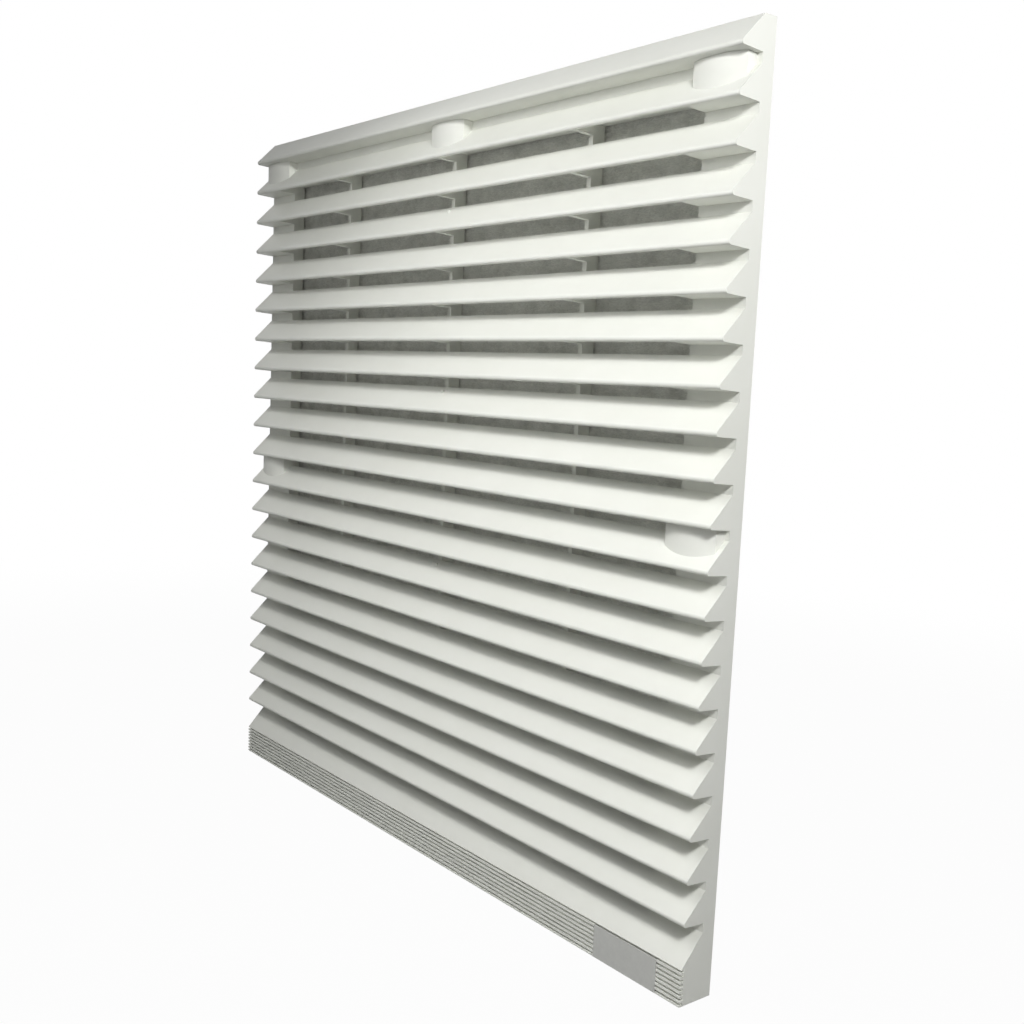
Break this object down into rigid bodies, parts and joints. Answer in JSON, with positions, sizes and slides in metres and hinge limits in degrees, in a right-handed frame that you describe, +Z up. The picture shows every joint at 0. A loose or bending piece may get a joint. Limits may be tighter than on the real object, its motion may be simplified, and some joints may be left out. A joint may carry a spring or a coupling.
{
  "type": "filter grille",
  "caption": "Square louvred filter grille for an enclosure wall: slatted front cover, filter mat, rear frame with guard grid, foam gasket and spring clips.",
  "frame": {"origin": "middle of the mounting plane, which is the enclosure wall's outer face and the gasket's rear face", "axes": "+X to the right seen from the front, +Y to the back into the enclosure, +Z up"},
  "size_m": [0.32, 0.0278, 0.32],
  "materials": {
    "cover_plastic": "fine matt light grey moulded plastic",
    "plate_grey": "satin grey, bare",
    "frame_plastic": "matt light grey moulded plastic",
    "mat_fibre": "loose bonded fibre mat",
    "gasket_foam": "closed-cell foam strip",
    "clip_steel": "plain spring steel"
  },
  "bodies": {
    "frame": {"base_frame": "frame_plastic", "filter_mat": "mat_fibre", "foam_gasket": "gasket_foam", "spring_clip_1": "clip_steel", "spring_clip_2": "clip_steel", "spring_clip_3": "clip_steel", "spring_clip_4": "clip_steel", "spring_clip_5": "clip_steel", "spring_clip_6": "clip_steel", "spring_clip_7": "clip_steel", "spring_clip_8": "clip_steel"},
    "cover": {"louvre_cover": "cover_plastic", "name_plate": "plate_grey"}
  },
  "joints": [
    {"name": "cover_pull", "type": "slide", "parent": "frame", "child": "cover", "axis": [0, -1, 0], "range_m": [0, 0.06]}
  ]
}
